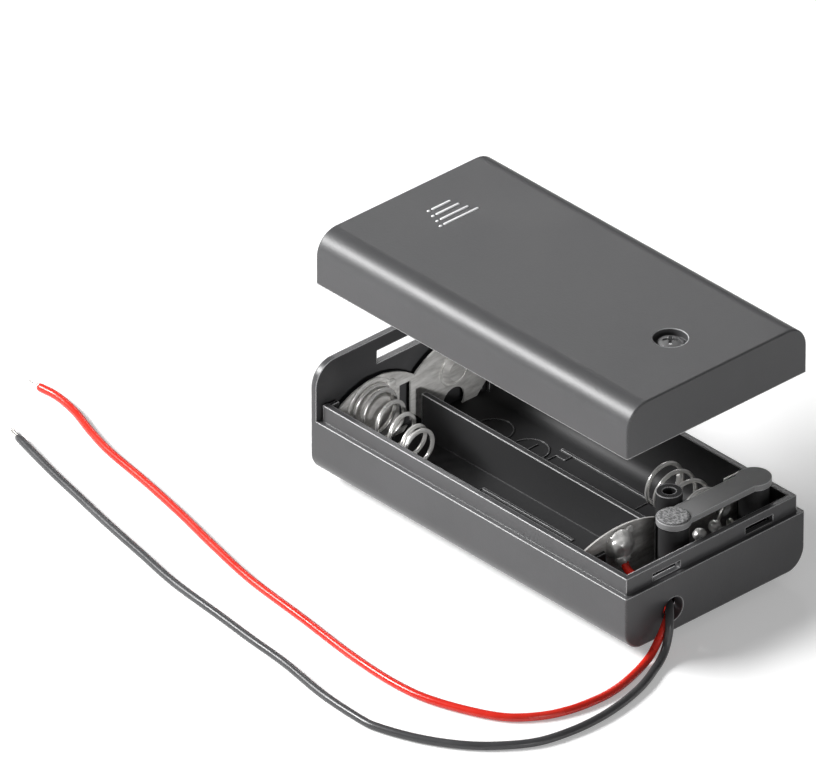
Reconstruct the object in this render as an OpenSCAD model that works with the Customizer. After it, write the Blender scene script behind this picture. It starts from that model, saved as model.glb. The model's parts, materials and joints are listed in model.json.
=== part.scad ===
/* [Case] */
// Length of the closed case, along X
case_l = 70; // [69:0.5:72]
// Width of the case, along Y
case_w = 37; // [36:0.2:38]
// Height of the tray's outer ledge above its underside
ledge_h = 9.7; // [9:0.1:10]
// Height of the full end wall above the underside
end_wall_h = 19.4; // [19:0.1:20]
// Thickness of the full end wall
end_wall_t = 1.2; // [1.2:0.1:1.6]
// Radius of the two long bottom edges
bottom_r = 3.6; // [3:0.2:4]
// Radius of the two long top edges
top_r = 4; // [3:0.2:4.4]
// Small radius round the end faces
edge_r = 0.3; // [0.3:0.1:0.6]
// Thickness of the tray's floor
floor_t = 1.6; // [1.4:0.1:1.8]

/* [Tray lip] */
// Height of the inner lip above the ledge
lip_h = 2.8; // [2:0.1:3]
// How far the lip stands in from the outer face
lip_inset = 0.9; // [0.9:0.05:1]
// Thickness of the lip
lip_t = 1; // [0.8:0.1:1.2]
// Thickness of the divider between the cells
divider_t = 1; // [0.8:0.1:1.6]
// Height of the divider above the underside
divider_h = 9; // [8:0.2:10]

/* [Cover] */
// Height of the cover from its lower edge to its top
cover_h = 8.7; // [8.4:0.1:9]
// Thickness of the cover's top
cover_t = 1.4; // [1.2:0.1:1.5]
// Thickness of the cover's skirt above the lip
skirt_t = 1.5; // [1.4:0.1:1.6]
// Height that the cover is raised above its closed place
cover_lift = 24.8; // [0:0.1:30]

/* [Cover screw] */
// Diameter of the screw head
screw_head_d = 4.1; // [3.8:0.1:4.4]
// Diameter of the recess round the head
screw_recess_d = 5.4; // [5:0.1:5.6]
// Diameter of the screw's shank
screw_d = 1.9; // [1.7:0.1:2]
// Diameter of the hole in the screw post
screw_hole_d = 2.1; // [2.05:0.05:2.2]

/* [Switch] */
// How far the slider stands out below the underside
slider_out = 1.9; // [1.5:0.1:2.2]
// Travel of the slider from ON to OFF
slider_travel = 2.6; // [2:0.1:3]
// Length of the slot in the floor, along Y
slot_l = 8.2; // [8:0.1:8.6]
// Width of the slot in the floor, along X
slot_w = 4; // [3.8:0.1:4.2]

/* [Contacts] */
// Thickness of the contact sheet
sheet_t = 0.3; // [0.25:0.05:0.4]
// Diameter of the spring wire
spring_d = 0.7; // [0.6:0.05:0.8]
// Distance of each cell's centre line from the middle of the case
cell_y = 8.6; // [8.4:0.1:8.8]
// Height of the cells' centre line above the underside
cell_z = 8.5; // [8.2:0.1:8.8]

/* [Leads] */
// Outer diameter of each lead's insulation
lead_d = 1.3; // [1.2:0.1:1.4]
// Diameter of the tinned wire at a lead's bare end
core_d = 0.7; // [0.6:0.1:0.8]
// Diameter of the hole that the leads leave by
lead_hole_d = 4.2; // [3.4:0.1:4.4]

/* [Hidden] */
$fn = 48;
// Overlap that lets a cut pass clean through a face
eps = 0.05;
// Running gap between parts that move past each other
gap = 0.1;
half_l = case_l / 2;
half_w = case_w / 2;
wall_in_x = -half_l + end_wall_t;
lip_out_y = half_w - lip_inset;
lip_in_y = lip_out_y - lip_t;
lip_out_x = half_l - lip_inset;
lip_in_x = lip_out_x - lip_t;
lip_top = ledge_h + lip_h;
// Gap between the full end wall and the start of the lip
lip_start_gap = 0.6;
bay_corner_r = 2.2;
cover_x0 = wall_in_x + gap;
cover_top = ledge_h + cover_h;
cover_under = cover_top - cover_t;
// Screw post
screw_x = 24.3;
screw_y = 0.4;
post_d = 4.1;
post_top = 16.1;
post_hole_depth = 9;
boss_d = 6.8;
boss_floor_t = 0.9;
screw_head_h = 1.1;
screw_len = 7;
// Switch and its two posts
switch_x = 29.3;
switch_y = 5.2;
switch_post_d = 4.7;
switch_post_x = 29;
near_post_y = -3.1;
far_post_y = 13.6;
retainer_top = 15.2;
retainer_t = 1;
retainer_w = 4.1;
retainer_end_d = 5.4;
stake_d = 2;
stake_h = 0.2;
stake_head_d = 5.1;
stub_h = 0.7;
housing_l = 9.8;
housing_w = 5.7;
housing_top = 6.6;
housing_wall = 0.5;
slider_l = 2.8;
slider_w = 3.35;
carriage_l = 5.4;
carriage_h = 1.8;
terminal_pitch = 3.2;
terminal_top = 10;
// Contact sheets
link_x = -32.5;
link_edge_y = 15.6;
positive_x = 22.3;
negative_x = 24.6;
guide_t = 0.6;
nub_d = 4.8;
nub_h = 0.8;
// Springs, base radius and free end radius at the middle of the wire
near_base_r = 4.3;
near_free_r = 3.1;
near_free_x = -21.4;
near_droop = 2;
near_turns = 6;
far_r = 3.5;
far_free_x = 14.1;
far_rise = 0.8;
far_turns = 5;
// Length along X that a closed end turn takes
closed_pitch = 0.72;
// Leads
hole_y = -8.78;
hole_z = 3.94;

// Outer lead routes, from the hole in the end face to the bare end
red_route = [[35, -9.7, 5.5], [35.6, -10.35, 5.5], [36.02, -11.1, 5.2], [36.25, -11.75, 4.5],
    [36.35, -12.35, 3.7], [36.45, -13.1, 2.9], [36.65, -14.1, 2], [37.05, -15.6, 1.15],
    [37.7, -18, 0.65], [38.8, -21.5, 0.65], [39.5, -24.7, 0.65], [39.7, -28.3, 0.65], [39, -33.7, 0.65],
    [36.9, -38.7, 0.65], [32.8, -43, 0.65], [24.4, -46.7, 0.65], [16.9, -48, 0.65], [6.3, -47.6, 0.65],
    [-7, -45.9, 0.65], [-20.4, -44.3, 0.65], [-31.6, -41.9, 0.65], [-41, -39.6, 0.65],
    [-51.5, -37.4, 0.65], [-61.7, -35.6, 0.65], [-67.8, -33.9, 0.65], [-73.9, -31.8, 0.65],
    [-79.1, -30.8, 0.65], [-83, -31, 0.65]];
red_tip_route = [[-83, -31, 0.65], [-84.3, -30.9, 0.6], [-85.4, -30.6, 0.6]];
black_route = [[35, -9.5, 6.85], [35.9, -10.35, 6.9], [36.7, -11.1, 6.45], [37.3, -11.7, 5.6],
    [37.6, -12.05, 4.6], [37.7, -12.35, 3.6], [37.85, -12.8, 2.6], [38.2, -13.7, 1.6],
    [38.8, -15.2, 0.9], [39.6, -17.1, 0.65], [40.8, -19.6, 0.65], [41.9, -22.6, 0.65],
    [43, -27.1, 0.65], [43.6, -32.2, 0.65], [43.4, -37.7, 0.65], [42, -43.6, 0.65], [38.3, -49.1, 0.65],
    [34.1, -52.9, 0.65], [29, -55.9, 0.65], [23.4, -58, 0.65], [19.6, -58.5, 0.65], [10.6, -58, 0.65],
    [0.4, -56.3, 0.65], [-8.1, -55.5, 0.65], [-16.1, -54.6, 0.65], [-27.5, -53.4, 0.65],
    [-37.2, -51.5, 0.65], [-47.3, -49.5, 0.65], [-56.3, -47.5, 0.65], [-64.3, -45.7, 0.65],
    [-74.3, -43.1, 0.65]];
black_tip_route = [[-74.3, -43.1, 0.65], [-75.6, -42.7, 0.6], [-76.7, -42.2, 0.6]];
// Lead routes inside the case
red_inside_route = [[35, -9.7, 5.5], [33.1, -8.6, 5.4], [31.2, -8.2, 6], [29.2, -8.6, 7.2],
    [27.4, -9.3, 8.2], [25.7, -9.6, 9.1], [24.7, -9.3, 10.3], [24.2, -8.8, 11.6]];
black_inside_route = [[35, -9.5, 6.85], [33.1, -8.2, 6.75], [32.3, -6.4, 7], [32.2, -4.2, 7.9],
    [32.2, -1.9, 9.2], [31.6, 0.2, 10.6], [30.6, 1.5, 11.4], [29.9, 2, 11.6]];
switch_link_route = [[25.3, 10.6, 10.9], [26, 10.2, 11.6], [27.2, 8.8, 12.3], [28.4, 7, 12.3], [29.1, 5.8, 11.8]];

// ---------- Shared shapes ----------

// Everything above the slider's tip, so that the tip stands at Z = 0
module standing() {
    translate([0, 0, slider_out]) children();
}

// Draws a YZ outline as a bar from x0 to x1
module along_x(x0, x1) {
    translate([x0, 0, 0]) rotate([90, 0, 90]) linear_extrude(x1 - x0) children();
}

// Outline of width w from z0 to z1, with corner radii rb below and rt above
module round_outline(w, z0, z1, rb, rt) {
    translate([-w / 2, z0 + rb]) square([w, z1 - z0 - rb - rt]);
    translate([-w / 2 + max(rb, rt), z0]) square([w - 2 * max(rb, rt), z1 - z0]);
    for (s = [-1, 1]) {
        if (rb > 0) translate([s * (w / 2 - rb), z0 + rb]) circle(rb);
        if (rt > 0) translate([s * (w / 2 - rt), z1 - rt]) circle(rt);
        if (rb < rt) translate([s * (w / 2 - (rb + rt) / 2) - (rt - rb) / 2, z0]) square([rt - rb, rt]);
        if (rt < rb) translate([s * (w / 2 - (rb + rt) / 2) - (rb - rt) / 2, z1 - rb]) square([rb - rt, rb]);
    }
}

// Round bead of radius r that follows the same outline in the plane at x
module edge_bead(x, w, z0, z1, rb, rt, r) {
    translate([x, 0, 0]) {
        for (s = [-1, 1]) {
            translate([0, s * (w / 2 - r), z0 + rb]) cylinder(h = z1 - z0 - rb - rt, r = r);
            translate([0, s * (w / 2 - rt), z1 - rt]) corner_bead(rt - r, r, s > 0 ? 0 : 90);
            translate([0, s * (w / 2 - rb), z0 + rb]) corner_bead(rb - r, r, s > 0 ? 270 : 180);
        }
        for (e = [[z0 + r, rb], [z1 - r, rt]]) {
            translate([0, -w / 2 + e[1], e[0]]) rotate([-90, 0, 0]) cylinder(h = w - 2 * e[1], r = r);
        }
    }
}

// Quarter ring about X, from angle a
module corner_bead(big_r, r, a) {
    rotate([90, 0, 90]) rotate([0, 0, a]) rotate_extrude(angle = 90) translate([big_r, 0]) circle(r);
}

// Bar with the outline above and softly rounded end faces
module soft_bar(x0, x1, w, z0, z1, rb, rt, r) {
    along_x(x0 + r, x1 - r) round_outline(w, z0, z1, rb, rt);
    along_x(x0, x1) round_outline(w - 2 * r, z0 + r, z1 - r, rb - r, rt - r);
    for (x = [x0 + r, x1 - r]) edge_bead(x, w, z0, z1, rb, rt, r);
}

// Box from one corner to the opposite corner
module box(a, b) {
    translate(a) cube(b - a);
}

function unit(v) = v / norm(v);
// Point i of a route, held at its ends
function held(p, i) = p[max(0, min(len(p) - 1, i))];
// Smooth curve through the route's points, at t from 0 to 1 along span i
function on_curve(p, i, t) =
    let (a = held(p, i - 1), b = held(p, i), c = held(p, i + 1), d = held(p, i + 2))
    0.5 * (2 * b + (c - a) * t + (2 * a - 5 * b + 4 * c - d) * t * t + (3 * b - a - 3 * c + d) * t * t * t);
// Steps that a span is cut into, so that rings stay about step apart
function span_steps(p, i, step) = max(1, round(norm(p[i + 1] - p[i]) / step));
function curve_points(p, step) = [
    for (i = [0 : len(p) - 2]) let (n = span_steps(p, i, step)) for (k = [0 : n - 1]) on_curve(p, i, k / n),
    p[len(p) - 1]];
function direction(q, i) = unit(held(q, i + 1) - held(q, i - 1));
// One ring of a tube of radius r round point i, turned to face the direction up
function ring(q, i, r, sides, up) =
    let (d = direction(q, i), side = unit(cross(d, up)), top = cross(side, d))
    [for (k = [0 : sides - 1]) q[i] + r * (cos(360 * k / sides) * side + sin(360 * k / sides) * top)];

// Closed tube through the points q, which never run along the direction up
module tube(q, r, sides, up = [0.02, 0.03, 1]) {
    n = len(q);
    points = [for (i = [0 : n - 1]) each ring(q, i, r, sides, up)];
    walls = [for (i = [0 : n - 2]) for (k = [0 : sides - 1])
        let (a = i * sides + k, b = i * sides + (k + 1) % sides)
        each [[a, b, b + sides], [a, b + sides, a + sides]]];
    first = [for (k = [sides - 1 : -1 : 0]) k];
    last = [for (k = [0 : sides - 1]) (n - 1) * sides + k];
    polyhedron(points = points, faces = concat([first, last], walls), convexity = 6);
}

// Outline of a sheet that stands on the floor, with an arched top edge from y0 to y1
module arched_sheet(y0, y1, side_z, crown_z) {
    half = (y1 - y0) / 2;
    rise = crown_z - side_z;
    arc_r = (half * half + rise * rise) / (2 * rise);
    cut = bay_corner_r;
    intersection() {
        polygon([[y0 + cut, floor_t], [y1 - cut, floor_t], [y1, floor_t + cut], [y1, crown_z],
                 [y0, crown_z], [y0, floor_t + cut]]);
        union() {
            translate([y0, floor_t]) square([2 * half, side_z - floor_t]);
            translate([(y0 + y1) / 2, crown_z - arc_r]) circle(arc_r, $fn = 128);
        }
    }
}

// Blob of solder of radius r on a sheet's face at [x, y, z]
module solder_dome(p, r, squash) {
    intersection() {
        translate(p) sphere(r);
        translate([p[0], p[1] - r, p[2] - r]) cube([squash, 2 * r, 2 * r]);
    }
}

// ---------- Tray ----------

module tray_shell() {
    difference() {
        soft_bar(-half_l, half_l, case_w, 0, end_wall_h, bottom_r, top_r, edge_r);
        box([wall_in_x, -half_w - eps, ledge_h], [half_l + eps, half_w + eps, end_wall_h + eps]);
    }
    box([wall_in_x + lip_start_gap, -lip_out_y, ledge_h - eps], [lip_out_x, lip_out_y, lip_top]);
}

module bay_hollow() {
    along_x(wall_in_x, lip_in_x) round_outline(2 * lip_in_y, floor_t, end_wall_h - end_wall_t, bay_corner_r, 1);
}

// Rib of length l that stands out from the side wall on side s, with its -X face at x
module wall_rib(x, s, l, z_top) {
    y = s > 0 ? lip_in_y - l : -lip_in_y - eps;
    box([x, y, floor_t - eps], [x + guide_t, y + l + eps, z_top]);
}

// Ribs that hold the edges of the contact sheets, one on each face of a sheet
module sheet_guides() {
    for (s = [-1, 1]) {
        wall_rib(link_x - gap - guide_t, s, 1.8, lip_top - 0.2);
        wall_rib(link_x + sheet_t + gap, s, 1.2, 9.2);
    }
    wall_rib(positive_x - gap - guide_t, -1, 1.2, 9.2);
    wall_rib(positive_x + sheet_t + gap, -1, 5, 9.8);
    wall_rib(negative_x - gap - guide_t, 1, 1.2, 9.2);
    wall_rib(negative_x + sheet_t + gap, 1, 2.5, 9.8);
}

module tray_posts() {
    translate([screw_x, screw_y, floor_t - eps]) cylinder(h = post_top - floor_t + eps, d = post_d);
    seat = retainer_top - retainer_t;
    // The near post's stake passes through the retainer, and the far post's stub ends in a blind hole
    for (p = [[near_post_y, retainer_t + stake_h], [far_post_y, stub_h]]) {
        translate([switch_post_x, p[0], floor_t - eps]) cylinder(h = seat - floor_t + eps, d = switch_post_d);
        translate([switch_post_x, p[0], seat - eps]) cylinder(h = p[1] + eps, d = stake_d);
    }
    // Flattened stake head on the near post
    translate([switch_post_x, near_post_y, retainer_top]) cylinder(h = stake_h, d1 = stake_head_d, d2 = stake_head_d - 0.2);
}

module cell_marks() {
    mark_t = 0.15;
    mark_w = 0.5;
    for (s = [-1, 1]) for (e = [-1, 1]) {
        y = s * 8.2 + e * 4.1 - mark_w / 2;
        box([-12, y, floor_t - eps], [8, y + mark_w, floor_t + mark_t]);
    }
}

module tray() color([0.24, 0.24, 0.25]) standing() difference() {
    union() {
        difference() {
            tray_shell();
            bay_hollow();
        }
        box([-29.6, -divider_t / 2, floor_t - eps], [screw_x, divider_t / 2, divider_h]);
        sheet_guides();
        tray_posts();
        cell_marks();
    }
    // Screw post bore
    translate([screw_x, screw_y, post_top - post_hole_depth])
        cylinder(h = post_hole_depth + eps, d = screw_hole_d);
    // Lead hole in the end face
    translate([lip_in_x - 1, hole_y, hole_z]) rotate([0, 90, 0]) cylinder(h = 4, d = lead_hole_d);
    // Windows through the end lip, at the ledge
    for (y = [-12.2, 7]) box([lip_in_x - eps, y, ledge_h + 0.2], [lip_out_x + eps, y + 5.7, ledge_h + 1.5]);
    // Window in the full end wall
    box([-half_l - eps, -5.9, 14.8], [wall_in_x + eps, 5.9, 17.1]);
    // Slot for the switch slider
    box([switch_x - slot_w / 2, switch_y - slot_l / 2, -eps],
        [switch_x + slot_w / 2, switch_y + slot_l / 2, floor_t + eps]);
    // Shallow step along the underside's edge below the lead hole
    box([half_l - 1.1, -half_w, -eps], [half_l + eps, half_w, 0.2]);
}

// ---------- Cover and its screw ----------

module cover_hollow() {
    wide = case_w - 2 * skirt_t;
    along_x(cover_x0 - eps, half_l - skirt_t)
        round_outline(wide, ledge_h - 1, cover_under, 0, top_r - cover_t);
    // Wider below, where the skirt laps over the lip
    box([cover_x0 - eps, -lip_out_y - gap, ledge_h - 1], [lip_out_x + 0.25, lip_out_y + gap, lip_top + gap]);
}

module cover() color([0.43, 0.43, 0.44]) standing() translate([0, 0, cover_lift]) {
    difference() {
        union() {
            difference() {
                soft_bar(cover_x0, half_l, case_w, 0, cover_top, top_r, top_r, edge_r);
                box([-half_l, -half_w - eps, -eps], [half_l + eps, half_w + eps, ledge_h]);
                cover_hollow();
            }
            // Boss under the screw, which lands on the post
            translate([screw_x, screw_y, post_top + gap])
                cylinder(h = cover_top - post_top - gap - 0.5, d = boss_d);
            // Lug behind the full end wall's window
            box([cover_x0, -5.6, 14.9], [cover_x0 + 2.4, 5.6, cover_under + eps]);
            // Nibs that face the windows in the end lip
            for (y = [-12, 7.2]) box([lip_out_x + gap / 2, y, ledge_h + 0.4], [half_l - eps - 0.5, y + 5.3, ledge_h + 1.2]);
        }
        translate([screw_x, screw_y, post_top + gap + boss_floor_t]) cylinder(h = 5, d = screw_recess_d);
        translate([screw_x, screw_y, post_top - eps]) cylinder(h = 5, d = screw_d + 2 * gap);
    }
}

module cover_screw() color([0.28, 0.28, 0.29]) standing()
    translate([screw_x, screw_y, cover_lift + post_top + gap + boss_floor_t + 0.02]) difference() {
    union() {
        cylinder(h = 0.5, d = screw_head_d);
        translate([0, 0, 0.5]) intersection() {
            cylinder(h = screw_head_h - 0.5, d = screw_head_d);
            translate([0, 0, -3.2]) sphere(r = 3.8);
        }
        translate([0, 0, -screw_len]) cylinder(h = screw_len + eps, d = screw_d);
        translate([0, 0, -screw_len - 0.8]) cylinder(h = 0.8, d1 = 0.5, d2 = screw_d);
    }
    // Cross recess
    for (a = [45, 135]) rotate([0, 0, a]) translate([-1.2, -0.28, 0.25]) cube([2.4, 0.56, 1]);
}

// ---------- Switch ----------

module switch_housing() color([0.12, 0.12, 0.13]) standing() translate([switch_x, switch_y, 0]) difference() {
    box([-housing_w / 2, -housing_l / 2, floor_t], [housing_w / 2, housing_l / 2, housing_top]);
    box([-housing_w / 2 + housing_wall, -housing_l / 2 + housing_wall, floor_t - eps],
        [housing_w / 2 - housing_wall, housing_l / 2 - housing_wall, housing_top - 2.4]);
}

// Slider in its ON place, towards +Y
module switch_slider() color([0.15, 0.15, 0.16]) standing()
    translate([switch_x, switch_y + slider_travel / 2, 0]) {
    ridge = 0.38;
    pitch = (slider_l - ridge) / 3;
    box([-slider_w / 2, -slider_l / 2, -slider_out + 0.3], [slider_w / 2, slider_l / 2, floor_t + 0.5]);
    for (i = [0 : 3]) {
        y = -slider_l / 2 + i * pitch;
        box([-slider_w / 2, y, -slider_out], [slider_w / 2, y + ridge, -slider_out + 0.3 + eps]);
    }
    box([-housing_w / 2 + housing_wall + gap, -carriage_l / 2, floor_t + 0.15],
        [housing_w / 2 - housing_wall - gap, carriage_l / 2, floor_t + 0.15 + carriage_h]);
}

module switch_retainer() color([0.4, 0.4, 0.41]) standing()
    translate([switch_post_x, 0, retainer_top - retainer_t]) difference() {
    union() {
        translate([-retainer_w / 2, near_post_y, 0]) cube([retainer_w, far_post_y - near_post_y, retainer_t]);
        for (y = [near_post_y, far_post_y]) translate([0, y, 0]) cylinder(h = retainer_t, d = retainer_end_d);
    }
    translate([0, near_post_y, -eps]) cylinder(h = retainer_t + 2 * eps, d = stake_d + gap);
    translate([0, far_post_y, -eps]) cylinder(h = stub_h + gap + eps, d = stake_d + gap);
}

module switch_terminal(i) color([0.75, 0.74, 0.7]) standing()
    translate([switch_x, switch_y + (i - 2) * terminal_pitch, housing_top - 1]) {
    translate([-0.6, -0.25, 0]) cube([1.2, 0.5, terminal_top - housing_top + 0.4]);
    translate([0, 0.25, terminal_top - housing_top + 0.4]) rotate([90, 0, 0]) cylinder(h = 0.5, r = 0.6);
}

module terminal_solder(i) color([0.8, 0.8, 0.8]) standing()
    translate([switch_x + 0.1, switch_y + (i - 2) * terminal_pitch, terminal_top - 0.1]) sphere(1.05);

// ---------- Contacts ----------

module link_plate() color([0.8, 0.79, 0.76]) standing() {
    along_x(link_x, link_x + sheet_t) difference() {
        union() {
            arched_sheet(-link_edge_y, 0.4, 10.9, 13.7);
            arched_sheet(0.4, link_edge_y, 10.7, 13.9);
        }
        translate([cell_y, 2.9]) circle(2.2);
        translate([cell_y - 1.2, 0]) square([2.4, 2.9]);
        // Slot beside the neck
        translate([-2.7, 2.4]) square([2.3, 7.8]);
    }
    translate([link_x + sheet_t - eps, cell_y, cell_z]) rotate([0, 90, 0])
        cylinder(h = nub_h + eps, d1 = nub_d, d2 = nub_d - 1.4);
}

module positive_plate() color([0.8, 0.79, 0.76]) standing() {
    along_x(positive_x, positive_x + sheet_t) arched_sheet(-link_edge_y, -0.9, 11.2, 12.6);
    translate([positive_x + eps, -cell_y, cell_z]) rotate([0, -90, 0])
        cylinder(h = nub_h + eps, d1 = nub_d, d2 = nub_d - 1.4);
}

module negative_plate() color([0.8, 0.79, 0.76]) standing() {
    along_x(negative_x, negative_x + sheet_t) {
        arched_sheet(2.8, link_edge_y, 11.2, 12.4);
        translate([11.4, 12]) square([3.2, 1.7]);
    }
}

// Points of a spring with closed ends, from its base at x0 to its free end at x1, lifted by rise there
function spring_points(x0, x1, y, z, r0, r1, rise, turns) =
    let (steps = 12, n = turns * steps, flat = 1 / turns, closed = closed_pitch / abs(x1 - x0))
    [for (i = [0 : n])
        let (t = i / n, a = 360 * i / steps,
             u = t < flat ? closed * t / flat : (t > 1 - flat ? 1 - closed * (1 - t) / flat
                 : closed + (t - flat) / (1 - 2 * flat) * (1 - 2 * closed)),
             r = r1 + (r0 - r1) * pow(1 - u, 3))
        [x0 + (x1 - x0) * u, y + r * cos(a), z + rise * sin(90 * u * u) + r * sin(a)]];

module near_spring() color([0.82, 0.82, 0.8]) standing()
    tube(spring_points(link_x + sheet_t + spring_d / 2 - eps, near_free_x, -cell_y, cell_z,
                       near_base_r, near_free_r, -near_droop, near_turns), spring_d / 2, 6, [1, 0, 0]);

module far_spring() color([0.82, 0.82, 0.8]) standing()
    tube(spring_points(negative_x - spring_d / 2 + eps, far_free_x, cell_y, cell_z,
                       far_r, far_r, far_rise, far_turns), spring_d / 2, 6, [1, 0, 0]);

module positive_solder() color([0.7, 0.7, 0.7]) standing()
    solder_dome([positive_x + sheet_t, -cell_y - 0.2, 10], 2.3, 2.3);

module negative_solder() color([0.7, 0.7, 0.7]) standing()
    solder_dome([negative_x + sheet_t, 10.6, 9], 1.1, 1.1);

module switch_link() color([0.8, 0.8, 0.78]) tube(curve_points(switch_link_route, 0.8), 0.3, 6);

// ---------- Leads ----------

module lead(route, step) {
    tube(curve_points(route, step), lead_d / 2, 8);
}

module red_lead() color([0.85, 0.2, 0.15]) lead(red_route, 3.6);
module black_lead() color([0.25, 0.25, 0.26]) lead(black_route, 3.6);
module red_lead_inside() color([0.85, 0.2, 0.15]) lead(red_inside_route, 2);
module black_lead_inside() color([0.25, 0.25, 0.26]) lead(black_inside_route, 2);
module red_lead_tip() color([0.8, 0.8, 0.78]) tube(red_tip_route, core_d / 2, 8);
module black_lead_tip() color([0.8, 0.8, 0.78]) tube(black_tip_route, core_d / 2, 8);

tray();
cover();
cover_screw();
switch_housing();
switch_slider();
switch_retainer();
switch_terminal(1);  // switch_terminal_1
switch_terminal(2);  // switch_terminal_2
switch_terminal(3);  // switch_terminal_3
link_plate();
near_spring();
far_spring();
positive_plate();
negative_plate();
positive_solder();
negative_solder();
terminal_solder(1);  // terminal_solder_1
terminal_solder(2);  // terminal_solder_2
switch_link();
red_lead();
black_lead();
red_lead_inside();
black_lead_inside();
red_lead_tip();
black_lead_tip();
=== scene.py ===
"""Looks of the cylindrical cell holder: materials, leads, springs, marks, light and camera.

The part's sizes are in millimetres, in the frame's axes. The camera and the lights stand in metres.
"""
import json
import math
import random

import bmesh
import bpy
from mathutils import Matrix, Vector, noise as shape_noise


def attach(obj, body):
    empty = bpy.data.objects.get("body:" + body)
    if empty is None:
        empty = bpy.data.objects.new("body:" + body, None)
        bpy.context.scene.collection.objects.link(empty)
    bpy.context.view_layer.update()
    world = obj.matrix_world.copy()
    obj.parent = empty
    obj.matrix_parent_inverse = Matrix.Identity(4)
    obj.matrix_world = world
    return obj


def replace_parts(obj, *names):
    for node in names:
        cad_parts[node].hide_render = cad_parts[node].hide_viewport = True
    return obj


MM = 0.001
TURN = 2 * math.pi

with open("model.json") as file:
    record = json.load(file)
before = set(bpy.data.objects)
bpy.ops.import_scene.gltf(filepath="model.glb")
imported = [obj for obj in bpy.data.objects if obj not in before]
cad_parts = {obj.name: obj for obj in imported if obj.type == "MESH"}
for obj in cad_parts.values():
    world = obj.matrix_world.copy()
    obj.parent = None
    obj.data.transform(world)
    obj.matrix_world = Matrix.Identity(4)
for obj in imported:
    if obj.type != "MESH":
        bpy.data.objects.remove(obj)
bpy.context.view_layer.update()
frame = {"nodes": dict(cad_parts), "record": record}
scene = bpy.context.scene
scene.view_settings.view_transform = "Standard"

# Sizes that the part's source has too. Heights are above the plane that the slider's tip stands on.
SLIDER_OUT = 1.9  # the tray's underside
COVER_TOP = SLIDER_OUT + 18.4 + 24.8  # closed height and lift
BAY_FLOOR_Z = SLIDER_OUT + 1.6
CELL_Y = 8.6
CELL_Z = SLIDER_OUT + 8.5
LINK_FACE_X = -32.2  # the sheets' faces towards the lead end
POSITIVE_FACE_X = 22.6
NEGATIVE_FACE_X = 24.9
STAKE_X, STAKE_Y, STAKE_Z = 29, -3.1, SLIDER_OUT + 15.2 + 0.2  # top of the near post's stake
LEAD_D = 1.3
CORE_D = 0.7
SPRING_D = 0.7
LINK_WIRE_R = 0.3

# Step off a sheet's face, so that two faces never lie in one plane
FACE_STEP = 0.05


# ---------- Camera ----------

CAMERA_PLACE = (1.944, -1.82765, 1.68767)
CAMERA_AZIMUTH = 47.251
CAMERA_ELEVATION = 31.903
CAMERA_LENS = 917.67
CAMERA_SENSOR = 36


def make_camera():
    a, e = math.radians(CAMERA_AZIMUTH), math.radians(CAMERA_ELEVATION)
    back = Vector((math.sin(a) * math.cos(e), -math.cos(a) * math.cos(e), math.sin(e)))
    right = Vector((math.cos(a), math.sin(a), 0))
    up = back.cross(right)
    data = bpy.data.cameras.new("camera")
    data.lens = CAMERA_LENS
    data.sensor_width = CAMERA_SENSOR
    data.clip_start = 0.1
    data.clip_end = 50
    camera = bpy.data.objects.new("camera", data)
    camera.matrix_world = Matrix((
        (right.x, up.x, back.x, CAMERA_PLACE[0]),
        (right.y, up.y, back.y, CAMERA_PLACE[1]),
        (right.z, up.z, back.z, CAMERA_PLACE[2]),
        (0, 0, 0, 1)))
    scene.collection.objects.link(camera)
    scene.camera = camera


make_camera()


# ---------- Material nodes ----------

def new_material(name, color, roughness, metallic=0.0):
    material = bpy.data.materials.new(name)
    material.use_nodes = True
    shader = material.node_tree.nodes["Principled BSDF"]
    shader.inputs["Base Color"].default_value = (*color, 1)
    shader.inputs["Roughness"].default_value = roughness
    shader.inputs["Metallic"].default_value = metallic
    return material, material.node_tree, shader


def math_node(tree, operation, *values):
    """Result of a math node; each value is a node's output or a number."""
    node = tree.nodes.new("ShaderNodeMath")
    node.operation = operation
    for socket, value in zip(node.inputs, values):
        if isinstance(value, bpy.types.NodeSocket):
            tree.links.new(value, socket)
        else:
            socket.default_value = value
    return node.outputs["Value"]


def noise(tree, scale, detail=3.0, rough=0.5, stretch=(1, 1, 1)):
    """Noise in the object's own space, with scale waves to a metre."""
    coords = tree.nodes.new("ShaderNodeTexCoord")
    mapping = tree.nodes.new("ShaderNodeMapping")
    mapping.inputs["Scale"].default_value = stretch
    texture = tree.nodes.new("ShaderNodeTexNoise")
    texture.inputs["Scale"].default_value = scale
    texture.inputs["Detail"].default_value = detail
    texture.inputs["Roughness"].default_value = rough
    tree.links.new(coords.outputs["Object"], mapping.inputs["Vector"])
    tree.links.new(mapping.outputs["Vector"], texture.inputs["Vector"])
    return texture.outputs["Fac"]


def spread(tree, value, low, high, from_min=0.3, from_max=0.7):
    """Value stretched to low..high; most of a noise lies between 0.3 and 0.7."""
    ramp = tree.nodes.new("ShaderNodeMapRange")
    ramp.inputs["From Min"].default_value = from_min
    ramp.inputs["From Max"].default_value = from_max
    ramp.inputs["To Min"].default_value = low
    ramp.inputs["To Max"].default_value = high
    tree.links.new(value, ramp.inputs["Value"])
    return ramp.outputs["Result"]


def mix_colors(tree, factor, first, second):
    """Mix of two colours; the first one may also be a node's output."""
    mix = tree.nodes.new("ShaderNodeMix")
    mix.data_type = "RGBA"
    tree.links.new(factor, mix.inputs["Factor"])
    if isinstance(first, tuple):
        mix.inputs["A"].default_value = (*first, 1)
    else:
        tree.links.new(first, mix.inputs["A"])
    mix.inputs["B"].default_value = (*second, 1)
    return mix.outputs["Result"]


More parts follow.
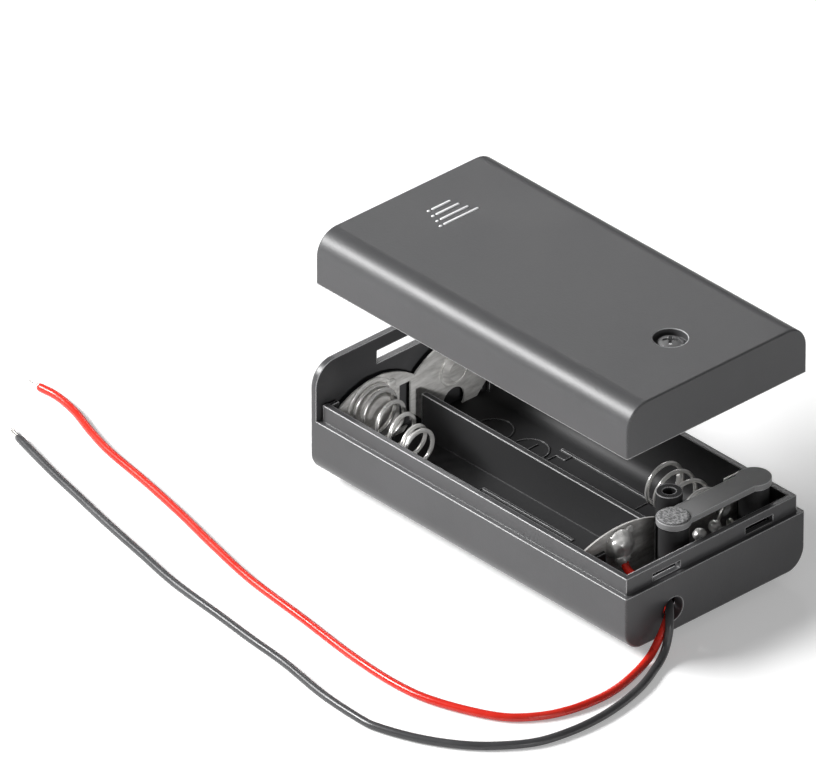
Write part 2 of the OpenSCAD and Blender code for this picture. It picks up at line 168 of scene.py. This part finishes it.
def mix_values(tree, factor, first, second):
    """Mix of a node's output and a number."""
    mix = tree.nodes.new("ShaderNodeMix")
    tree.links.new(factor, mix.inputs["Factor"])
    tree.links.new(first, mix.inputs["A"])
    mix.inputs["B"].default_value = second
    return mix.outputs["Result"]


def paint(tree, shader, color, rough):
    tree.links.new(color, shader.inputs["Base Color"])
    tree.links.new(rough, shader.inputs["Roughness"])


def add_bump(tree, shader, value, height, before=None):
    """Bump of a height in millimetres, on top of the normal before it."""
    bump = tree.nodes.new("ShaderNodeBump")
    bump.inputs["Distance"].default_value = height * MM
    bump.inputs["Strength"].default_value = 1
    tree.links.new(value, bump.inputs["Height"])
    if before is not None:
        tree.links.new(before, bump.inputs["Normal"])
    tree.links.new(bump.outputs["Normal"], shader.inputs["Normal"])
    return bump.outputs["Normal"]


# ---------- Moulded plastic ----------

EDGE_RADIUS = 0.3
EDGE_SAMPLES = 6
# Painted highlight: pale colour along the outward edges
EDGE_HIGHLIGHT_COLOR = (0.7, 0.7, 0.71)
# Painted shade: near-black colour for the tray's inner surfaces
BAY_PAINTED_SHADE = (0.022, 0.022, 0.023)
BAY_ROUGHNESS = 0.62
BAY_HALF_X = 33.3  # the bays' box, a little past the tray's inner faces and floor
BAY_HALF_Y = 16.65
BAY_LOW_Z = 3.3
SHEEN_SCALE = 90
GRAIN_SCALE = 2600
WAVE_SCALE = 240


def soft_edges_and_highlight(tree):
    """Normal that rounds sharp edges, and a value that is 1 along the outward ones, where a highlight is
    painted.
    """
    bevel = tree.nodes.new("ShaderNodeBevel")
    bevel.samples = EDGE_SAMPLES
    bevel.inputs["Radius"].default_value = EDGE_RADIUS * MM
    geometry = tree.nodes.new("ShaderNodeNewGeometry")
    dot = tree.nodes.new("ShaderNodeVectorMath")
    dot.operation = "DOT_PRODUCT"
    tree.links.new(bevel.outputs["Normal"], dot.inputs[0])
    tree.links.new(geometry.outputs["Normal"], dot.inputs[1])
    shade = tree.nodes.new("ShaderNodeAmbientOcclusion")
    shade.samples = EDGE_SAMPLES
    shade.inputs["Distance"].default_value = EDGE_RADIUS * 2 * MM
    turned = spread(tree, dot.outputs["Value"], 1, 0, 0.86, 0.99)
    outward = spread(tree, shade.outputs["AO"], 0, 1, 0.8, 0.95)
    return bevel.outputs["Normal"], math_node(tree, "MULTIPLY", turned, outward)


def bay_shade_mask(tree):
    """1 on the tray's inner surfaces, which get painted shade."""
    coords = tree.nodes.new("ShaderNodeTexCoord")
    split = tree.nodes.new("ShaderNodeSeparateXYZ")
    tree.links.new(coords.outputs["Object"], split.inputs["Vector"])
    in_x, in_y = (math_node(tree, "LESS_THAN", math_node(tree, "ABSOLUTE", split.outputs[axis]), half * MM)
                  for axis, half in (("X", BAY_HALF_X), ("Y", BAY_HALF_Y)))
    in_z = math_node(tree, "GREATER_THAN", split.outputs["Z"], BAY_LOW_Z * MM)
    return math_node(tree, "MULTIPLY", math_node(tree, "MULTIPLY", in_x, in_y), in_z)


def moulded(name, dark, light, rough_range, grain, paints_bay_shade=False, edge_highlight=True):
    """Fine spark grain, slow changes of sheen, a painted highlight along the outward edges, and painted shade
    on the tray's inner surfaces.
    """
    material, tree, shader = new_material(name, dark, rough_range[1])
    sheen = noise(tree, SHEEN_SCALE, 4, 0.6)
    color = mix_colors(tree, spread(tree, sheen, 0, 1), dark, light)
    rough = spread(tree, sheen, *rough_range)
    normal = None
    if paints_bay_shade:
        # Painted shade: the inner surfaces turn near-black and rougher
        inside = bay_shade_mask(tree)
        color = mix_colors(tree, inside, color, BAY_PAINTED_SHADE)
        rough = mix_values(tree, inside, rough, BAY_ROUGHNESS)
    if edge_highlight:
        # Painted highlight: the outward edges turn pale
        normal, edges = soft_edges_and_highlight(tree)
        color = mix_colors(tree, edges, color, EDGE_HIGHLIGHT_COLOR)
    paint(tree, shader, color, rough)
    normal = add_bump(tree, shader, noise(tree, GRAIN_SCALE, 2, 0.6), grain, normal)
    add_bump(tree, shader, noise(tree, WAVE_SCALE, 2), grain * 1.5, normal)
    return material


def stake_grain():
    """Rough end of the melted stake, with pale and dark grains."""
    material, tree, shader = new_material("stake_grain", (0.3, 0.3, 0.302), 0.55)
    grains = noise(tree, 3200, 2, 0.6)
    mixed = mix_colors(tree, spread(tree, grains, 0, 1, 0.4, 0.6), (0.14, 0.14, 0.142), (0.47, 0.47, 0.475))
    tree.links.new(mixed, shader.inputs["Base Color"])
    add_bump(tree, shader, grains, 0.12)
    return material


# ---------- Metal and insulation ----------

def metal(name, dark, light, rough_range, scale, height, metallic, stretch=(1, 1, 1)):
    """Rolled or drawn metal; scale and height are its grain's, and stretch draws the grain out."""
    material, tree, shader = new_material(name, light, rough_range[0], metallic)
    grain = noise(tree, scale, 4, 0.6, stretch)
    paint(tree, shader, mix_colors(tree, spread(tree, grain, 0, 1), dark, light),
          spread(tree, noise(tree, scale * 0.4, 3), *rough_range))
    add_bump(tree, shader, grain, height)
    return material


def insulation(name, dark, light, rough_range):
    material, tree, shader = new_material(name, dark, rough_range[1])
    slow = noise(tree, 160, 3)
    paint(tree, shader, mix_colors(tree, spread(tree, slow, 0, 1), dark, light),
          spread(tree, slow, *rough_range))
    add_bump(tree, shader, noise(tree, 500, 3), 0.05)
    return material


# Dark and light colour, range of roughness, height of the grain, and whether the inner surfaces get painted
# shade
MOULDED = {
    "tray_plastic": ((0.060, 0.060, 0.062), (0.072, 0.072, 0.075), (0.31, 0.37), 0.012, True),
    "cover_plastic": ((0.060, 0.060, 0.062), (0.068, 0.068, 0.071), (0.39, 0.43), 0.012),
    "switch_plastic": ((0.02, 0.02, 0.021), (0.028, 0.028, 0.03), (0.42, 0.5), 0.01),
    "slider_plastic": ((0.05, 0.05, 0.052), (0.06, 0.06, 0.062), (0.3, 0.4), 0.01),
    "retainer_plastic": ((0.24, 0.24, 0.242), (0.27, 0.27, 0.272), (0.42, 0.5), 0.015),
}
# Dark and light colour, range of roughness, scale and height of the grain, share of metal
METAL = {
    "screw_steel": ((0.38, 0.38, 0.385), (0.55, 0.55, 0.555), (0.2, 0.3), 1500, 0.01, 0.8),
    "terminal_metal": ((0.7, 0.68, 0.62), (0.82, 0.80, 0.74), (0.3, 0.45), 900, 0.01, 0.6),
    "contact_sheet": ((0.52, 0.51, 0.49), (0.88, 0.87, 0.85), (0.34, 0.5), 300, 0.02, 0.25, (1, 1, 4)),
    "spring_wire": ((0.9, 0.89, 0.87), (0.98, 0.97, 0.95), (0.2, 0.28), 900, 0.006, 0.6),
    "solder": ((0.72, 0.71, 0.7), (0.93, 0.92, 0.9), (0.24, 0.46), 500, 0.06, 0.5),
    "tinned_wire": ((0.72, 0.7, 0.67), (0.88, 0.87, 0.84), (0.3, 0.45), 1500, 0.02, 1),
}
# Dark and light colour, range of roughness
INSULATION = {
    "red_insulation": ((0.66, 0.022, 0.012), (0.78, 0.035, 0.02), (0.22, 0.32)),
    "black_insulation": ((0.05, 0.05, 0.052), (0.07, 0.07, 0.073), (0.26, 0.38)),
}
MATERIALS = {name: maker(name, *values)
             for maker, table in ((moulded, MOULDED), (metal, METAL), (insulation, INSULATION))
             for name, values in table.items()}


def dress_cad():
    slots = {p["node"]: p["material_slot"] for p in frame["record"]["subparts"]}
    for name, obj in frame["nodes"].items():
        obj.data.materials.clear()
        obj.data.materials.append(MATERIALS[slots[name]])


dress_cad()


# ---------- Piece helpers ----------

def finished(name, bm):
    """Mesh of a bmesh, which is freed."""
    mesh = bpy.data.meshes.new(name)
    bm.to_mesh(mesh)
    bm.free()
    return mesh


def smooth(mesh):
    for face in mesh.polygons:
        face.use_smooth = True
    return mesh


def place(name, mesh, body, slot):
    """Piece that rides on a body of the frame."""
    obj = bpy.data.objects.new(name, mesh)
    mesh.materials.append(MATERIALS[slot])
    scene.collection.objects.link(obj)
    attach(obj, body)
    return obj


def join(bm, mesh):
    """Moves a mesh's faces into the bmesh."""
    bm.from_mesh(mesh)
    bpy.data.meshes.remove(mesh)


def bridge(bm, first, second):
    """Quads between two rings of as many points."""
    for k in range(len(first)):
        n = (k + 1) % len(first)
        bm.faces.new((first[k], first[n], second[n], second[k]))


def route_points(route, steps):
    """Points of the smooth curve through the route, in metres."""
    held = [route[0], *route, route[-1]]
    points = []
    for i in range(1, len(held) - 2):
        a, b, c, d = (Vector(held[i + k]) for k in (-1, 0, 1, 2))
        for k in range(steps):
            t = k / steps
            points.append(0.5 * (2 * b + (c - a) * t + (2 * a - 5 * b + 4 * c - d) * t * t
                                 + (3 * b - a - 3 * c + d) * t * t * t) * MM)
    points.append(Vector(route[-1]) * MM)
    return points


def tube_mesh(name, points, radius, sides):
    """Round tube through points, in metres; radius is one number or one for each point."""
    radii = radius if isinstance(radius, list) else [radius] * len(points)
    bm = bmesh.new()
    rings = []
    normal = None
    for i, p in enumerate(points):
        ahead = points[min(i + 1, len(points) - 1)] - points[max(i - 1, 0)]
        ahead.normalize()
        if normal is None:
            normal = ahead.orthogonal().normalized()
        normal = (normal - ahead * normal.dot(ahead)).normalized()
        side = ahead.cross(normal)
        rings.append([bm.verts.new(p + radii[i] * (math.cos(TURN * k / sides) * normal
                                                   + math.sin(TURN * k / sides) * side))
                      for k in range(sides)])
    for first, second in zip(rings, rings[1:]):
        bridge(bm, first, second)
    bm.faces.new(rings[0][::-1])
    bm.faces.new(rings[-1])
    mesh = finished(name, bm)
    for face in mesh.polygons:
        face.use_smooth = len(face.vertices) == 4
    return mesh


# ---------- Leads ----------

def lying(*places):
    """Route of a lead that lies on the floor."""
    return [(x, y, LEAD_D / 2) for x, y in places]


RED_ROUTE = [
    (35, -9.7, 5.5), (35.6, -10.35, 5.5), (36.02, -11.1, 5.2), (36.25, -11.75, 4.5),
    (36.35, -12.35, 3.7), (36.45, -13.1, 2.9), (36.65, -14.1, 2), (37.05, -15.6, 1.15),
] + lying(
    (37.7, -18), (38.8, -21.5), (39.5, -24.7), (39.7, -28.3), (39, -33.7), (36.9, -38.7), (32.8, -43),
    (24.4, -46.7), (16.9, -48), (6.3, -47.6), (-7, -45.9), (-20.4, -44.3), (-31.6, -41.9), (-41, -39.6),
    (-51.5, -37.4), (-61.7, -35.6), (-67.8, -33.9), (-73.9, -31.8), (-79.1, -30.8), (-83, -31))
RED_TIP = [RED_ROUTE[-1], (-84.3, -30.9, 0.6), (-85.4, -30.6, 0.6)]
RED_INSIDE = [
    RED_ROUTE[0], (33.1, -8.6, 5.4), (31.2, -8.2, 6), (29.2, -8.6, 7.2), (27.4, -9.3, 8.2),
    (25.7, -9.6, 9.1), (24.7, -9.3, 10.3), (24.2, -8.8, 11.6)]
BLACK_ROUTE = [
    (35, -9.5, 6.85), (35.9, -10.35, 6.9), (36.7, -11.1, 6.45), (37.3, -11.7, 5.6), (37.6, -12.05, 4.6),
    (37.7, -12.35, 3.6), (37.85, -12.8, 2.6), (38.2, -13.7, 1.6), (38.8, -15.2, 0.9),
] + lying(
    (39.6, -17.1), (40.8, -19.6), (41.9, -22.6), (43, -27.1), (43.6, -32.2), (43.4, -37.7), (42, -43.6),
    (38.3, -49.1), (34.1, -52.9), (29, -55.9), (23.4, -58), (19.6, -58.5), (10.6, -58), (0.4, -56.3),
    (-8.1, -55.5), (-16.1, -54.6), (-27.5, -53.4), (-37.2, -51.5), (-47.3, -49.5), (-56.3, -47.5),
    (-64.3, -45.7), (-74.3, -43.1))
BLACK_TIP = [BLACK_ROUTE[-1], (-75.6, -42.7, 0.6), (-76.7, -42.2, 0.6)]
BLACK_INSIDE = [
    BLACK_ROUTE[0], (33.1, -8.2, 6.75), (32.3, -6.4, 7), (32.2, -4.2, 7.9), (32.2, -1.9, 9.2),
    (31.6, 0.2, 10.6), (30.6, 1.5, 11.4), (29.9, 2, 11.6)]
SWITCH_LINK = [(25.3, 10.6, 10.9), (26, 10.2, 11.6), (27.2, 8.8, 12.3), (28.4, 7, 12.3), (29.1, 5.8, 11.8)]

LEAD_STEPS = 8
LEAD_SIDES = 20
LEAD_END_TAPER = 0.9
INNER_STEPS = 6
INNER_SIDES = 16
STRANDS = 7
STRAND_SIDES = 8
STRAND_R = CORE_D * 0.165
STRAND_RING_R = CORE_D * 0.335  # the outer strands' circle round the first strand
STRAND_TWIST = 1.2
STRAND_FAN = 0.25


def bare_end(name, route, node):
    """Tinned strands, lightly twisted, that fan a little at the end."""
    random.seed(len(name))
    axis = route_points(route, LEAD_STEPS)
    axis[0] = axis[0] - (axis[1] - axis[0]) * 2
    bm = bmesh.new()
    for k in range(STRANDS):
        ring = 0 if k == 0 else STRAND_RING_R * MM
        start = TURN * k / (STRANDS - 1)
        points = []
        for i, p in enumerate(axis):
            t = i / (len(axis) - 1)
            a = start + STRAND_TWIST * t
            fan = 1 + STRAND_FAN * t * random.random()
            points.append(p + Vector((0, math.cos(a), math.sin(a))) * ring * fan)
        cut = points[:len(points) - random.randrange(2)]
        join(bm, tube_mesh(name + "_strand", cut, STRAND_R * MM, STRAND_SIDES))
    obj = place(name, smooth(finished(name, bm)), "case", "tinned_wire")
    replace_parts(obj, node)
    return obj


def outer_lead(name, route, tip_route, slot):
    points = route_points(route, LEAD_STEPS)
    radii = [LEAD_D / 2 * MM] * len(points)
    radii[-1] *= LEAD_END_TAPER
    mesh = tube_mesh(name + "_insulation", points, radii, LEAD_SIDES)
    obj = place(name + "_insulation", mesh, "case", slot)
    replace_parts(obj, name)
    tip = bare_end(name + "_strands", tip_route, name + "_tip")


def inner_lead(name, route, slot, radius):
    mesh = tube_mesh(name + "_round", route_points(route, INNER_STEPS), radius * MM, INNER_SIDES)
    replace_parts(place(name + "_round", mesh, "case", slot), name)


outer_lead("red_lead", RED_ROUTE, RED_TIP, "red_insulation")
outer_lead("black_lead", BLACK_ROUTE, BLACK_TIP, "black_insulation")
inner_lead("red_lead_inside", RED_INSIDE, "red_insulation", LEAD_D / 2)
inner_lead("black_lead_inside", BLACK_INSIDE, "black_insulation", LEAD_D / 2)
inner_lead("switch_link", SWITCH_LINK, "tinned_wire", LINK_WIRE_R)


# ---------- Springs ----------

CLOSED_PITCH = 0.72  # length along X that a closed end turn takes
TURN_STEPS = 40
WIRE_SIDES = 12


def spring(name, base_x, free_x, y, rise, base_r, free_r, turns):
    """Wire of a spring with closed ends, between its base and its free end."""
    count = round(turns * TURN_STEPS)
    flat = 1 / turns
    closed = CLOSED_PITCH / abs(free_x - base_x)
    points = []
    for i in range(count + 1):
        t = i / count
        a = TURN * i / TURN_STEPS
        if t < flat:
            u = closed * t / flat
        elif t > 1 - flat:
            u = 1 - closed * (1 - t) / flat
        else:
            u = closed + (t - flat) / (1 - 2 * flat) * (1 - 2 * closed)
        r = free_r + (base_r - free_r) * (1 - u) ** 3
        z = CELL_Z + rise * math.sin(math.pi / 2 * u * u)
        points.append(Vector((base_x + (free_x - base_x) * u, y + r * math.cos(a), z + r * math.sin(a))) * MM)
    mesh = tube_mesh(name + "_wire", points, SPRING_D / 2 * MM, WIRE_SIDES)
    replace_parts(place(name + "_wire", mesh, "case", "spring_wire"), name)


spring("near_spring", base_x=-31.9, free_x=-21.4, y=-CELL_Y, rise=-2.3, base_r=4.3, free_r=3.1, turns=5.5)
spring("far_spring", base_x=24.3, free_x=14.1, y=CELL_Y, rise=0.8, base_r=3.5, free_r=3.5, turns=5)


# ---------- Raised strokes and marks ----------

ROUND_END = (0.98, 0.8, 0.45)  # places of a round end's rings, in radii past the stroke's end
STROKE_SIDES = 12


def rounded_line(line, radius):
    """Points and radii of a stroke with round ends."""
    points = [Vector(p) for p in line]
    start = (points[0] - points[1]).normalized() * radius
    end = (points[-1] - points[-2]).normalized() * radius
    ends = [math.sqrt(1 - c * c) * radius for c in ROUND_END]
    return ([points[0] + start * c for c in ROUND_END] + points
            + [points[-1] + end * c for c in reversed(ROUND_END)],
            ends + [radius] * len(points) + ends[::-1])


def strokes(name, lines, z, radius, body, slot, flat=1.0):
    """Rounded strokes with flat lines of points, sunk to half their height at the level z."""
    bm = bmesh.new()
    for line in lines:
        points, radii = rounded_line([(x, y, z) for x, y in line], radius)
        join(bm, tube_mesh(name + "_part", [p * MM for p in points], [r * MM for r in radii],
                           STROKE_SIDES))
    for vert in bm.verts:
        vert.co.z = z * MM + (vert.co.z - z * MM) * flat
    return place(name, finished(name, bm), body, slot)


def oval(x, y, rx, ry, count=36):
    return [(x + rx * math.sin(TURN * k / count), y + ry * math.cos(TURN * k / count))
            for k in range(count + 1)]


def add_cover_bars():
    """Four bars, each with a dot before it. Their pale colour is a painted highlight of glossy ribs, and the
    gap between dot and bar copies a dark reflection on each rib's near end.
    """
    dot_ahead, dot_length = 0.92, 0.07
    bars = ((-27.0, -0.6, 2.8), (-25.5, -1.1, 3.2), (-24.0, -1.6, 3.7), (-22.6, -2.2, 4.5))
    lines = [[(x, y0), (x, y1)] for x, y0, y1 in bars]
    lines += [[(x, y0 - dot_ahead), (x, y0 - dot_ahead + dot_length)] for x, y0, _ in bars]
    raised = strokes("cover_bars", lines, COVER_TOP, 0.27, "lid", "cover_plastic", 0.6)
    # Painted highlight: pale, glossy colour stands for the glint on the ribs
    raised.data.materials[0] = moulded(
        "rib_painted_highlight", (0.84, 0.84, 0.85), (0.92, 0.92, 0.93), (0.12, 0.2), 0.002, edge_highlight=False)


def add_switch_words():
    """OFF, a dash and ON beside the slot, read towards +Y with their tops towards +X."""
    middle, half = 24.1, 1.4
    low, high = middle - half, middle + half
    o_places, f_places, n_sides = (1.24, 8.79), (2.38, 4.34), (10.05, 11.35)
    o_half, f_arm, f_short_arm = 1.05, 1.5, 1.1
    f_short_x = middle + 0.1
    dash = (5.96, 7.7)
    lines = [oval(middle, y, half, o_half) for y in o_places]
    lines += [[(low, y), (high, y)] for y in f_places + n_sides]
    lines += [[(high, y), (high, y + f_arm)] for y in f_places]
    lines += [[(f_short_x, y), (f_short_x, y + f_short_arm)] for y in f_places]
    lines += [[(high, n_sides[0]), (low, n_sides[1])], [(middle, y) for y in dash]]
    strokes("switch_words", lines, SLIDER_OUT, 0.19, "case", "tray_plastic", 0.8)


def add_floor_marks():
    """Lines and rings on the bays' floors."""
    ring_r = 3.1
    far_bay = [[(-15.5, 6.7), (-15.5, 10.5)], [(-9.4, 6.7), (-11.3, 6.7)], [(-11.3, 6.7), (-11.3, 10.5)],
               [(-11.3, 10.5), (-9.4, 10.5)], [(-9.4, 10.5), (-9.4, 12.3)], [(-9.4, 4.1), (-9.4, 6.7)],
               [(8, 4.1), (8, 12.3)]]
    near_bay = [[(-12, -12.3), (-12, -4.1)], [(8, -12.3), (8, -10.5)], [(8, -6.7), (8, -4.1)],
                [(8, -10.5), (9.9, -10.5)], [(8, -6.7), (9.9, -6.7)], [(9.9, -10.5), (9.9, -6.7)]]
    lines = [oval(x, CELL_Y, ring_r, ring_r) for x in (-23.2, -15.3)] + far_bay + near_bay
    strokes("floor_marks", lines, BAY_FLOOR_Z, 0.17, "case", "tray_plastic")


add_cover_bars()
add_switch_words()
add_floor_marks()


# ---------- Solder and sheet details ----------

LUMP_BROAD, LUMP_FINE = (0.16, 1.5), (0.07, 3.7)  # share and scale of the lumps' unevenness


def lump(name, center, radius, squash, seed, face_x=None, node=None):
    """Uneven solder lump; face_x is the sheet's face, which it doesn't pass."""
    bm = bmesh.new()
    bmesh.ops.create_icosphere(bm, subdivisions=4, radius=1)
    for vert in bm.verts:
        way = vert.co.normalized()
        size = 1 + LUMP_BROAD[0] * shape_noise.noise(way * LUMP_BROAD[1] + Vector((seed, 0, 0)))
        size += LUMP_FINE[0] * shape_noise.noise(way * LUMP_FINE[1] + Vector((0, seed, 0)))
        p = Vector(center) + Vector([way[k] * squash[k] for k in range(3)]) * radius * size
        if face_x is not None:
            p.x = max(p.x, face_x - FACE_STEP)
        vert.co = p * MM
    obj = place(name, smooth(finished(name, bm)), "case", "solder")
    if node:
        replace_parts(obj, node)


def bead(name, y, radius, wire):
    """Raised ring on the link plate, round the middle of a cell's end."""
    sides, count = 10, 48
    x = LINK_FACE_X + FACE_STEP
    bm = bmesh.new()
    rings = []
    for i in range(count):
        a = TURN * i / count
        rings.append([bm.verts.new(Vector((
            x + wire * math.sin(TURN * k / sides),
            y + (radius + wire * math.cos(TURN * k / sides)) * math.cos(a),
            CELL_Z + (radius + wire * math.cos(TURN * k / sides)) * math.sin(a))) * MM)
            for k in range(sides)])
    for first, second in zip(rings, rings[1:] + rings[:1]):
        bridge(bm, first, second)
    place(name, smooth(finished(name, bm)), "case", "contact_sheet")


def add_seat_tab():
    """Small block bent up from the sheet beside the spring's seat."""
    low, high = (LINK_FACE_X, -5.6, 12.2), (-31.45, -4.0, 14.2)
    bm = bmesh.new()
    bmesh.ops.create_cube(bm, size=1)
    for vert in bm.verts:
        vert.co = Vector([(low[k] + high[k]) / 2 + vert.co[k] * (high[k] - low[k]) for k in range(3)]) * MM
    obj = place("spring_seat_tab", finished("spring_seat_tab", bm), "case", "contact_sheet")
    rounding = obj.modifiers.new("rounding", "BEVEL")
    rounding.width = 0.25 * MM
    rounding.segments = 2


def add_stake_face():
    """Rough face of the flattened stake head on the near post."""
    rings, count, radius = 16, 64, 2.5
    rise, roughness, rough_scale, rim_drop, rim_waves = 0.06, 0.07, 3.2, 0.15, 0.02

    def vert(x, y, up):
        return bm.verts.new(Vector((STAKE_X + x, STAKE_Y + y, STAKE_Z + up)) * MM)

    bm = bmesh.new()
    middle = vert(0, 0, rise)
    last = None
    for i in range(1, rings + 1):
        on_rim = i == rings
        row = []
        for k in range(count):
            a = TURN * k / count
            waves = rim_waves * shape_noise.noise(Vector((4 * a, 0, 0))) if on_rim else 0
            r = radius * i / rings * (1 + waves)
            x, y = r * math.cos(a), r * math.sin(a)
            rough = roughness * shape_noise.noise(Vector((x * rough_scale, y * rough_scale, 0)))
            row.append(vert(x, y, -rim_drop if on_rim else rise + rough))
        for k in range(count):
            n = (k + 1) % count
            bm.faces.new((last[k], row[k], row[n], last[n]) if last else (middle, row[k], row[n]))
        last = row
    obj = place("stake_face", smooth(finished("stake_face", bm)), "case", "tray_plastic")
    obj.data.materials[0] = stake_grain()


lump("positive_lump", (23.2, -8.8, 11.9), 2.3, (0.95, 1, 1.02), 3.1, POSITIVE_FACE_X, "positive_solder")
lump("positive_lower_lump", (24.3, -9.3, 10.2), 1.25, (1, 1.05, 0.95), 7.9)
lump("positive_small_lump", (22.9, -6.6, 13.5), 0.75, (0.7, 1.3, 0.8), 5.7, POSITIVE_FACE_X)
lump("negative_lump", (25.3, 10.6, 10.9), 1.15, (0.9, 1, 1), 1.3, NEGATIVE_FACE_X, "negative_solder")
lump("terminal_lump_1", (29.4, 2.0, 11.9), 1.1, (1, 0.95, 0.85), 8.2, None, "terminal_solder_1")
lump("terminal_lump_2", (29.4, 5.2, 11.9), 1.1, (1, 0.9, 0.9), 6.4, None, "terminal_solder_2")
bead("nub_ring", CELL_Y, 2.75, 0.22)
bead("spring_seat_ring", -CELL_Y, 5.1, 0.3)
add_seat_tab()
add_stake_face()


# ---------- Floor, light and background ----------

FLOOR_SIZE = 3.0
FLOOR_GLOW = 0.3  # only where the floor is seen, so it adds no light to the object
WORLD_LIGHT = 0.15  # the white background's share that lights the object
LIGHT_AIM = (0, 0, 0.02)
# Place, size and watts
AREA_LIGHTS = {
    "key": ((-0.52, -0.5, 0.54), (0.44, 0.24), 13.5),
    "rear": ((-0.56, 0.52, 0.48), (0.12, 0.12), 0.4),
    "side": ((0.75, -0.25, 0.17), (0.25, 0.12), 0.9),
}


def seen_by(tree, ray):
    """1 for the camera's rays and for one more kind of ray."""
    path = tree.nodes.new("ShaderNodeLightPath")
    return math_node(tree, "MAXIMUM", path.outputs["Is Camera Ray"], path.outputs[ray])


def add_floor():
    bm = bmesh.new()
    bmesh.ops.create_grid(bm, x_segments=1, y_segments=1, size=FLOOR_SIZE)
    mesh = finished("floor", bm)
    floor = bpy.data.objects.new("floor", mesh)
    scene.collection.objects.link(floor)
    material, tree, shader = new_material("floor", (0.8, 0.8, 0.8), 0.9)
    shader.inputs["Specular IOR Level"].default_value = 0
    shader.inputs["Emission Color"].default_value = (1, 1, 1, 1)
    glow = math_node(tree, "MULTIPLY", seen_by(tree, "Is Glossy Ray"), FLOOR_GLOW)
    tree.links.new(glow, shader.inputs["Emission Strength"])
    mesh.materials.append(material)


def add_world():
    """White behind the object, and much weaker as a light on it."""
    world = bpy.data.worlds.new("world")
    scene.world = world
    world.use_nodes = True
    tree = world.node_tree
    background = tree.nodes["Background"]
    background.inputs["Color"].default_value = (1, 1, 1, 1)
    strength = spread(tree, seen_by(tree, "Is Transmission Ray"), WORLD_LIGHT, 1, 0, 1)
    tree.links.new(strength, background.inputs["Strength"])


def add_light(name, kind, place_m, aim_m, power):
    data = bpy.data.lights.new(name, kind)
    data.energy = power
    light = bpy.data.objects.new(name, data)
    light.location = place_m
    light.rotation_euler = (Vector(aim_m) - Vector(place_m)).to_track_quat("-Z", "Y").to_euler()
    scene.collection.objects.link(light)
    return data


def add_area_lights():
    for name, (place_m, size, power) in AREA_LIGHTS.items():
        data = add_light(name, "AREA", place_m, LIGHT_AIM, power)
        data.shape = "RECTANGLE"
        data.size, data.size_y = size


def add_contact_spot():
    """Narrow light on the link plate and the near spring."""
    data = add_light("contact_spot", "SPOT", (0.26, -0.13, 0.1), (-0.032, -0.001, 0.0115), 2.2)
    data.spot_size = math.radians(4.8)
    data.spot_blend = 0.6
    data.shadow_soft_size = 0.01


add_floor()
add_world()
add_area_lights()
add_contact_spot()
